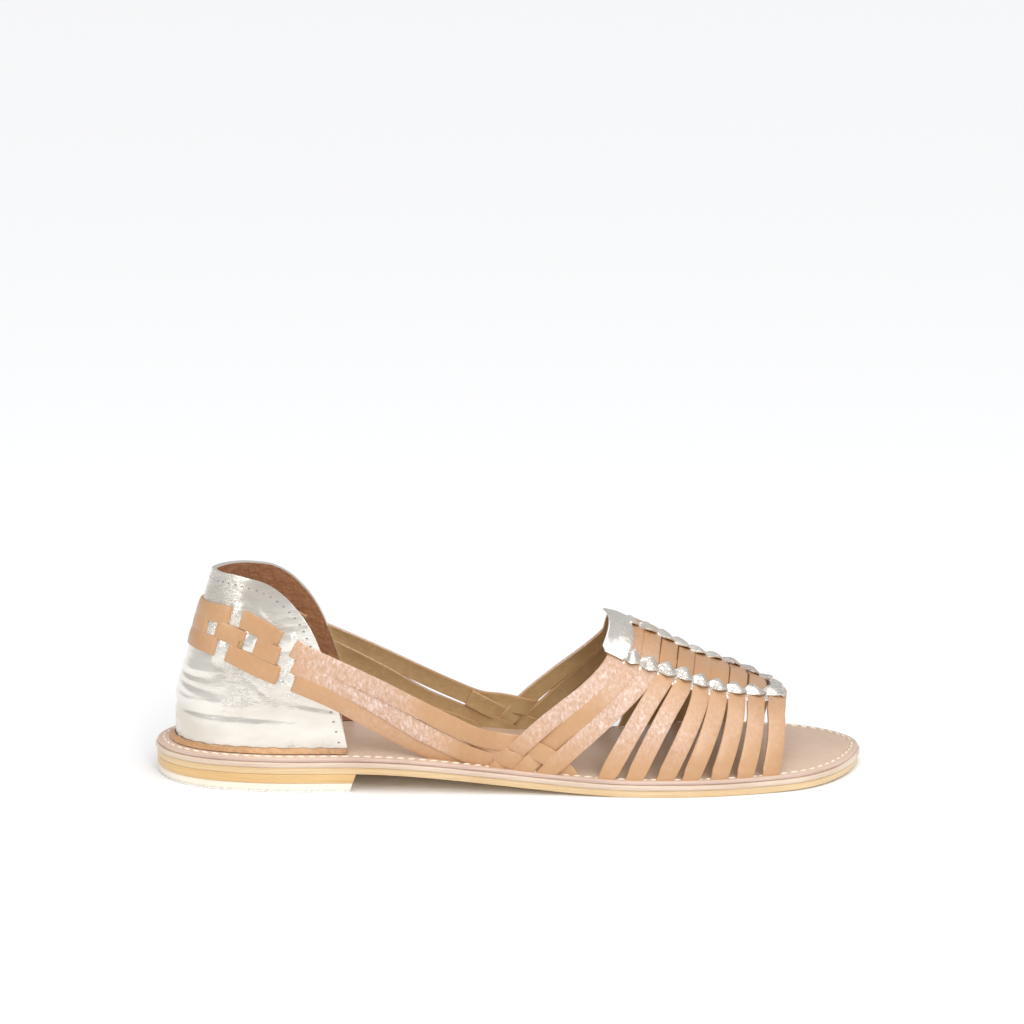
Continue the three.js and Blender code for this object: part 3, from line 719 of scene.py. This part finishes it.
# Stitching of the counter: a row of small sunk stitches in dark thread just inside the top line,
# which also runs down the two front edges.
HOLE_IN = 3.2 * MM
HOLE_PITCH = 2.7 * MM
HOLE_LENGTH, HOLE_WIDTH, HOLE_HEIGHT = 1.1 * MM, 0.75 * MM, 0.3 * MM
HOLE_SUNK = -0.05 * MM
FRONT_DROP = 9 * MM
FRONT_FROM = 0.72
LOWEST_HOLE = 4 * MM
ROW_START = 1.2 * MM
ROW_STEP = 0.3 * MM
dark_thread = Finish("counter_thread", roughness=0.8)
dark_thread.paint(dark_thread.mix(dark_thread.noise(900, 2), (0.16, 0.13, 0.11), (0.4, 0.35, 0.3)))


def top_line_stitches():
    places = []
    way = -COUNTER_END + ROW_START
    previous = None
    while way < COUNTER_END - ROW_START:
        top = read(TOP_LINE, share(foot(-abs(way))[0]), 1) * COUNTER_RISE
        up = top - HOLE_IN - FRONT_DROP * step(abs(way), COUNTER_END * FRONT_FROM, COUNTER_END)
        if up > LOWEST_HOLE:
            point, normal = on_wall(way, up, HOLE_SUNK)
            if previous is None or (point - previous).length >= HOLE_PITCH:
                ahead = wall_point(way + NEAR, up)
                places.append((point, ahead - point, normal))
                previous = point
        way += ROW_STEP
    return places


counter_stitches = stitch_row(
    "counter_stitches", top_line_stitches(), HOLE_LENGTH, HOLE_WIDTH, HOLE_HEIGHT
)
counter_stitches.data.materials.append(dark_thread.material)
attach(counter_stitches, "root")

# Rand: the turned foot of the counter, a narrow and uneven strip of orange-tan leather between the
# metallic leather and the insole's stitch line. Its tan is darkened and blotched much darker as painted
# shadow under the counter's edge.
RAND_WIDTH = 1.8 * MM
RAND_HEIGHT = 1.6 * MM
RAND_THICKNESS = 0.5 * MM
# Painted shadow: the tan is darkened, and its dark blotches stand for the shade under the counter's edge.
RAND_TAN, RAND_SHADOW, RAND_LIGHT = (0.64, 0.36, 0.17), (0.36, 0.17, 0.07), (0.85, 0.58, 0.34)
rand_finish = skin_finish(
    "rand_leather", RAND_TAN, RAND_SHADOW, RAND_LIGHT, grain=0.8, gloss=0.35, crease=1.2, pores=700
)


def rand_place(u, v):
    way = COUNTER_END * u
    out = SEAM + (1 - v) / 2 * RAND_WIDTH
    wave = 0.85 + 0.15 * math.sin(way / MM * 0.9) * math.sin(way / MM * 0.23)
    up = SEAM + RAND_HEIGHT * math.sqrt(max(0, 1 - ((1 - v) / 2) ** 2)) * wave
    point = on_wall(way, SEAM, out)[0]
    return Vector((point.x, point.y, insole_top(point.x) + up))


rand = laid_sheet("rand_leather", 160, 6, rand_place)
face_outwards(rand)
apply_modifier(rand, "SOLIDIFY", thickness=RAND_THICKNESS, offset=0)
smooth(rand, 60)
belong(rand, "counter_rand", "tan_leather", rand_finish)

# Long straps: three tan straps, each running from the outer braid up to the counter, in and out of
# its slits round the heel and down to the inner braid. Their grain side carries a painted pinkish-white
# highlight, broken into fine flecks, in a band where the lamps' light falls on the curved strap, and
# their flesh side is a dull khaki.
STRAP_THICKNESS = 1.3 * MM
STRAP_CROWN = 0.25 * MM
STRAP_ROUND = 0.25 * MM
STRAP_STATIONS = 130
SLIT_STATIONS = 60
CELLS_ACROSS = 8
BRAID_REACH = 1.425 * MM
WEAVE_END = 0.23
WEAVE_FREED = 12 * MM
OUTSIDE = 0.35 * MM
BEHIND = -2.85 * MM
IN_SLIT = -0.6 * MM
SLIT_RUN = 0.3 * MM
SLIT_REACH = 0.2 * MM
FOOT_NARROWING = 0.12
TAN, TAN_DARK, TAN_LIGHT = (0.55, 0.31, 0.15), (0.47, 0.25, 0.115), (0.68, 0.45, 0.3)
# Painted highlight: a pinker tan and a pinkish white that stand in for the lamps' sheen on the straps.
HIGHLIGHT_TAN, HIGHLIGHT_PINK = (0.62, 0.38, 0.28), (0.9, 0.74, 0.69)
BAND_EDGE = 7 * MM
# columns: share of the sole's length, share of the counter's rise, side it lies on in the braid
LONG_STRAPS = [
    [
        (0.02, 0.77, 0), (0.065, 0.775, 0), (0.091, 0.765, 0), (0.116, 0.745, 0), (0.15, 0.69, 0),
        (0.183, 0.635, 0), (0.212, 0.575, 0), (0.253, 0.507, 0.4), (0.317, 0.391, 0.4), (0.364, 0.306, 0.4),
        (0.412, 0.226, 0.4), (0.456, 0.165, 0.4), (0.489, 0.155, 0.5), (0.517, 0.143, -0.5),
        (0.549, 0.106, 0.5), (0.568, 0.05, -0.5), (0.582, 0, -0.5), (0.592, -0.06, -0.5),
    ],
    [
        (0.02, 0.7, 0), (0.042, 0.7, 0), (0.062, 0.695, 0), (0.082, 0.675, 0), (0.105, 0.65, 0),
        (0.128, 0.62, 0), (0.15, 0.59, 0), (0.183, 0.545, 0), (0.212, 0.49, 0), (0.253, 0.423, 0),
        (0.317, 0.289, -0.1), (0.372, 0.167, 0), (0.412, 0.101, 0.1), (0.443, 0.055, 0.2),
        (0.464, 0.034, 0.2), (0.487, 0.008, -0.5), (0.502, -0.02, -0.5), (0.515, -0.06, -0.5),
    ],
    [
        (0.02, 0.61, 0), (0.05, 0.605, 0), (0.074, 0.585, 0), (0.098, 0.56, 0), (0.15, 0.485, 0),
        (0.183, 0.44, 0), (0.212, 0.395, 0), (0.253, 0.323, -0.2), (0.309, 0.198, -0.4),
        (0.372, 0.077, -0.5), (0.403, 0.038, -0.5), (0.435, 0.005, -0.5), (0.446, -0.015, -0.5),
        (0.46, -0.06, -0.5),
    ],
]
# Lower half of the top long strap, slit off it before the braid, with the same columns
SLIT_HALF = [
    (0.44, 0.175, -0.4), (0.456, 0.145, -0.5), (0.474, 0.109, -0.3), (0.497, 0.059, 0.5),
    (0.528, 0.03, -0.5), (0.546, -0.01, -0.5), (0.556, -0.06, -0.5),
]


def strap_finish(name, axis, low, high, strength, wrinkled=0.0):
    """Tan leather with a painted pinkish-white highlight in a band of X or Z, given in mm, broken into
    flecks, where it is also less rough.
    """
    finish = Finish(name, roughness=0.36, Coat_Weight=0.3, Coat_Roughness=0.22)
    where = finish.node("SeparateXYZ", sockets={0: finish.place()}, output=axis)
    begun = finish.between(where, low * MM - BAND_EDGE, low * MM + BAND_EDGE)
    ended = finish.between(where, high * MM - BAND_EDGE, high * MM + BAND_EDGE)
    band = begun * (1 - ended)
    blotch = finish.noise(30, 4)
    speck = finish.noise(520, 4)
    colour = finish.mix(finish.between(blotch, 0.35, 0.7), TAN_DARK, TAN)
    crinkle = finish.between(abs(finish.noise(760, 4, finish.place((1, 1, 0.6))) - 0.5), 0.0, 0.12)
    sheen_flecks = finish.between(finish.noise(900, 5, finish.place((1, 1, 0.6))), 0.38, 0.66)
    # Painted highlight: the band is lifted to the pinker tan and, in fine flecks, to pinkish white.
    shine = band * strength * (crinkle * 0.3 + 0.22) * (sheen_flecks * 1.2 + 0.35)
    colour = finish.mix(band * strength * 0.35, colour, HIGHLIGHT_TAN)
    colour = finish.mix(shine, colour, HIGHLIGHT_PINK)
    colour = finish.mix(finish.between(speck, 0.45, 0.9) * 0.2, colour, TAN_LIGHT)
    rough = finish.between(speck, 0.2, 0.9) * 0.2 + 0.3 - band * strength * sheen_flecks * 0.16
    across = finish.noise(3, 3, finish.place((70, 0.7, 1), uv=True))
    height = speck * 0.35 + (crinkle * 0.5 + sheen_flecks * 0.5) * band * strength + across * band * wrinkled
    return finish.paint(colour, rough, finish.relief(height, 0.0003))


khaki = skin_finish(
    "flesh_side", (0.5, 0.33, 0.15), (0.4, 0.25, 0.11), (0.6, 0.43, 0.23),
    grain=0.4, gloss=0.6, crease=0.4, pores=800,
)
plain_tan = strap_finish("tan_plain", 2, 18, 30, 0.25)


def low_crown(phase, v):
    return STRAP_CROWN * (1 - v * v)


def strap(name, path, width, thickness, face, back, crown=low_crown, edge=STRAP_ROUND, soft=60):
    """A strap laid along a path whose stations each hold a point, its normal, the breadth there and
    a phase for the crown, with its grain side in one material and its flesh side in another."""
    last = len(path) - 1

    def place(u, v):
        n = min(round((u + 1) / 2 * last), last)
        point, normal, broad, phase = path[n]
        run = path[min(n + 1, last)][0] - path[max(n - 1, 0)][0]
        side = run.cross(normal).normalized()
        return point + side * v * width * broad / 2 + normal * crown(phase, v)

    ribbon = laid_sheet(name, last, CELLS_ACROSS, place)
    middle_face = ribbon.data.polygons[len(ribbon.data.polygons) // 2]
    nearest = min(path, key=lambda station: (station[0] - middle_face.center).length)
    if middle_face.normal.dot(nearest[1]) < 0:
        ribbon.data.flip_normals()
    ribbon.data.materials.append(face)
    ribbon.data.materials.append(back)
    apply_modifier(
        ribbon, "SOLIDIFY", thickness=thickness, offset=0, material_offset=1, material_offset_rim=0,
    )
    round_edges(ribbon, edge, degrees=60)
    smooth(ribbon, soft)
    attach(ribbon, "root")
    return ribbon


def tan_strap(name, path, look):
    ribbon = strap(name, path, STRAP_WIDTH, STRAP_THICKNESS, look, khaki)
    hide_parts("woven_upper")


def along_wall(rows, ways, reach):
    """Stations of a strap on the wall of the last; reach gives its distance out from it."""
    by_way = [(way_to(along), up * COUNTER_RISE, out) for along, up, out in rows]
    stations = []
    for way in ways:
        up = read(by_way, abs(way), 1)
        out = reach(abs(way), read(by_way, abs(way), 2))
        point, normal = on_wall(way, up, out)
        broad = 1 - FOOT_NARROWING * (1 - step(up, -1 * MM, 2.5 * MM))
        stations.append((point, normal, broad, 0))
    return stations


def long_strap(rows, bars):
    """Stations of a long strap: outside the counter, and behind it under each of its bars."""
    woven, end = way_to(WEAVE_END), way_to(rows[-1][0])
    spans = [(way_to(along) - half * MM, way_to(along) + half * MM) for along, up, half in bars]
    ways = {end * n / STRAP_STATIONS for n in range(STRAP_STATIONS + 1)}
    for low, high in spans:
        ways |= {low - SLIT_RUN, low, low + SLIT_RUN, high - SLIT_RUN, high, high + SLIT_RUN}
    ways = sorted(ways)
    ways = [-way for way in reversed(ways)] + ways[1:]

    def reach(way, out):
        if any(low + SLIT_REACH < way < high - SLIT_REACH for low, high in spans):
            return BEHIND
        if any(low - SLIT_REACH < way < high + SLIT_REACH for low, high in spans):
            return IN_SLIT
        free = step(way, woven, woven + WEAVE_FREED)
        return OUTSIDE * (1 - free) + out * BRAID_REACH * free

    return along_wall(rows, ways, reach)


long_looks = [
    strap_finish("tan_top_long", 0, -74, -36, 0.75),
    strap_finish("tan_middle_long", 0, -72, -24, 0.9),
    plain_tan,
]
for n, (rows, bars, look) in enumerate(zip(LONG_STRAPS, BARS, long_looks), 1):
    tan_strap(f"long_strap_{n}", long_strap(rows, bars), look)
slit_from, slit_to = way_to(SLIT_HALF[0][0]), way_to(SLIT_HALF[-1][0])
for where, side in (("outer", -1), ("inner", 1)):
    steps = [n / SLIT_STATIONS for n in range(SLIT_STATIONS + 1)]
    ways = [side * (slit_from + (slit_to - slit_from) * along) for along in steps]
    path = along_wall(SLIT_HALF, ways, lambda way, out: out * BRAID_REACH)
    tan_strap(f"slit_half_{where}", path, plain_tan)

# Cross straps: ten tan straps over the foot, side by side on the ridge and spread at the sole, where
# they go down through the insole. The rear three sweep back into the side braids.
# columns: share of the sole's length on the ridge and at the foot, how long it keeps its way, then
# climb and side in the braid
CROSS_STRAPS = [
    (0.647, 0.484, 1.5, [(0.915, 0.5), (0.965, -0.5), (1, 0.5)]),
    (0.668, 0.518, 1.5, [(0.931, -0.5), (0.98, 0.5)]),
    (0.692, 0.55, 1.5, [(0.96, 0.5)]),
    (0.716, 0.632, 1.2, []),
    (0.74, 0.67, 1.2, []),
    (0.764, 0.712, 1.5, []),
    (0.788, 0.747, 1.5, []),
    (0.814, 0.786, 1.6, []),
    (0.841, 0.822, 1.7, []),
    (0.87, 0.858, 2, []),
]
PAST_FOOT = 1.03
CROWDING = 1.25
RIDGE_CLIMB = 1e-4
HOLD = 0.4
RIDGE_LEAD = 0.4 * STRAP_WIDTH
FOOT_STAND = 0.25 * MM
RIDGE_BROADENING = 0.06
FOOT_TAPER = 0.14
PLAIN_STATIONS, BRAIDED_STATIONS = 150, 220
LAST_STRAP = len(CROSS_STRAPS) - 1


def on_vamp(x, climb, out):
    return off_surface(vamp_point, x, climb or RIDGE_CLIMB, NEAR, NEAR_CLIMB, out)


def cross_path(n):
    top, at_foot, sweep, braid = CROSS_STRAPS[n]
    rows = [(0.8, 0.0), *braid]
    path = []
    count = BRAIDED_STATIONS if braid else PLAIN_STATIONS
    for i in range(count + 1):
        t = 2 * i / count - 1
        climb = math.copysign(PAST_FOOT * (1 - (1 - abs(t)) ** CROWDING), t) or RIDGE_CLIMB
        reach = max((abs(climb) - HOLD) / (1 - HOLD), 0) ** sweep
        lead = RIDGE_LEAD * (1 - min(abs(climb) / HOLD, 1))
        x = at_share(top + (at_foot - top) * reach) + lead
        out = read(rows, abs(climb), 1) * BRAID_REACH
        if not braid:
            out += FOOT_STAND * step(abs(climb), 0.93, 0.98)
        point, normal = on_vamp(x, climb, out)
        broad = 1 + RIDGE_BROADENING * (1 - step(abs(climb), 0.3, 0.7))
        broad -= FOOT_TAPER * step(abs(climb), 0.95, 1)
        path.append((point, normal, broad, 0))
    return path


cross_looks = [
    strap_finish("tan_cross_1", 2, 20, 47, 0.85, 0.7),
    strap_finish("tan_cross_2", 2, 36, 47, 0.6, 0.3),
    strap_finish("tan_cross_3", 2, 17, 45, 0.8, 0.9),
    strap_finish("tan_cross_4", 2, 17, 34, 0.85),
    strap_finish("tan_cross_5", 2, 17, 31, 0.8),
    strap_finish("tan_cross_6", 2, 15, 28, 0.45),
]
for n in range(LAST_STRAP + 1):
    look = cross_looks[n] if n < len(cross_looks) else plain_tan
    tan_strap(f"cross_strap_{n + 1}", cross_path(n), look)

# Lacing: two metallic laces along each side of the ridge, which hold the cross straps between them.
# One lies on top, folded to a lozenge over every strap, and the other passes beneath and shows in
# the gaps. Both begin under the throat tab.
LACE_WIDTH = 5.4 * MM
LACE_THICKNESS = 0.7 * MM
LOZENGE_RISE = 1.25 * MM
LOZENGE_ROUND = 0.1 * MM
LOZENGE_FACETS = 14
LOZENGE_WAIST, LOZENGE_SWELL = 0.42, 0.72
OVER_OUT, OVER_HUMP = 0.35, 0.95
UNDER_OUT, UNDER_DIP = 0.2, 1.4
UNDER_BROAD = 0.9
UNDER_ASIDE = 0.042
STATIONS_PER_STRAP = 16
UNDER_TAB = 0.5
# columns: strap counted from the throat, climb of the outer and of the inner lacing
STRANDS = [
    (0, -0.38, -0.06), (2, -0.4, -0.07), (3, -0.385, -0.05), (4, -0.355, 0), (6, -0.335, 0.07),
    (7, -0.315, 0.09), (8, -0.26, 0.09), (9, -0.17, 0.06),
]
TOPS = [(n, row[0]) for n, row in enumerate(CROSS_STRAPS)]


def strand_climb(side, n):
    return read(STRANDS, n, 1 if side < 0 else 2)


def top_x(n):
    return at_share(read(TOPS, n, 1))


def lace_station(side, n, aside, out, broad, phase):
    point, normal = on_vamp(top_x(n), strand_climb(side, n) + side * aside, out * MM)
    return point, normal, broad, phase


def lozenge(phase, v):
    """Two flat facets that meet on a slanting fold over the middle of the strap."""
    return LOZENGE_RISE * (1 - abs(phase - v) / 2)


def lace(name, path, width, *shape):
    ribbon = strap(name, path, width, LACE_THICKNESS, lace_foil, lace_foil, *shape)
    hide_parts("vamp_lacing")


lace_foil = foil_finish("metallic_lace", 0.36, 0.6)
for where, side in (("outer", -1), ("inner", 1)):
    over, under = [], []
    for i in range(LAST_STRAP * STATIONS_PER_STRAP + 1):
        n = i / STATIONS_PER_STRAP
        phase = 2 * (n - math.floor(n + 0.5))
        hump = math.cos(math.pi * phase / 2) ** 2
        under.append(lace_station(side, n, UNDER_ASIDE, UNDER_OUT - UNDER_DIP * hump, UNDER_BROAD, 0))
        if n >= UNDER_TAB:
            broad = LOZENGE_WAIST + LOZENGE_SWELL * (1 - abs(phase) ** 1.4)
            over.append(lace_station(side, n, 0, OVER_OUT + OVER_HUMP * hump, broad, phase))
    lace(f"lace_{where}_over", over, LACE_WIDTH, lozenge, LOZENGE_ROUND, LOZENGE_FACETS)
    lace(f"lace_{where}_under", under, LACE_WIDTH)

# Throat tab and end tab: plates of the laces' metallic leather that lie over the ridge from strand
# to strand, the first over the rear cross straps and the last over the front one.
TAB_LENGTH = 10.5 * MM
TAB_BACK = 1.5 * MM
TAB_SWEEP = 2.4 * MM
TAB_FLARE = 2.2 * MM
TAB_OUT = 1.4 * MM
TAB_BEYOND = 1 / 8
TAB_STATIONS = 60
CORNER_FROM, CORNER_TAPER = 0.85, 0.35


def flared(phase, v):
    """The throat tab's rear edge stands up from the foot; phase is 1 where it isn't held down."""
    return low_crown(phase, v) + TAB_FLARE * phase * max(0, -v) ** 2


def tab_path(n, forward, sweep):
    outer, inner = strand_climb(-1, n), strand_climb(1, n)
    beyond = (inner - outer) * TAB_BEYOND
    path = []
    for i in range(TAB_STATIONS + 1):
        across = 2 * i / TAB_STATIONS - 1
        climb = (outer - beyond) + (inner - outer + 2 * beyond) * i / TAB_STATIONS
        point, normal = on_vamp(top_x(n) + forward - sweep * across ** 2, climb, TAB_OUT)
        loose = (1 - across * across) if forward > 0 else 0
        corner = max(0, abs(across) - CORNER_FROM) / (1 - CORNER_FROM)
        path.append((point, normal, 1 - CORNER_TAPER * corner, loose))
    return path


lace("throat_tab", tab_path(0, TAB_LENGTH / 4 - TAB_BACK, TAB_SWEEP), TAB_LENGTH, flared)
lace("end_tab", tab_path(LAST_STRAP, LACE_WIDTH / 4, 0), LACE_WIDTH)
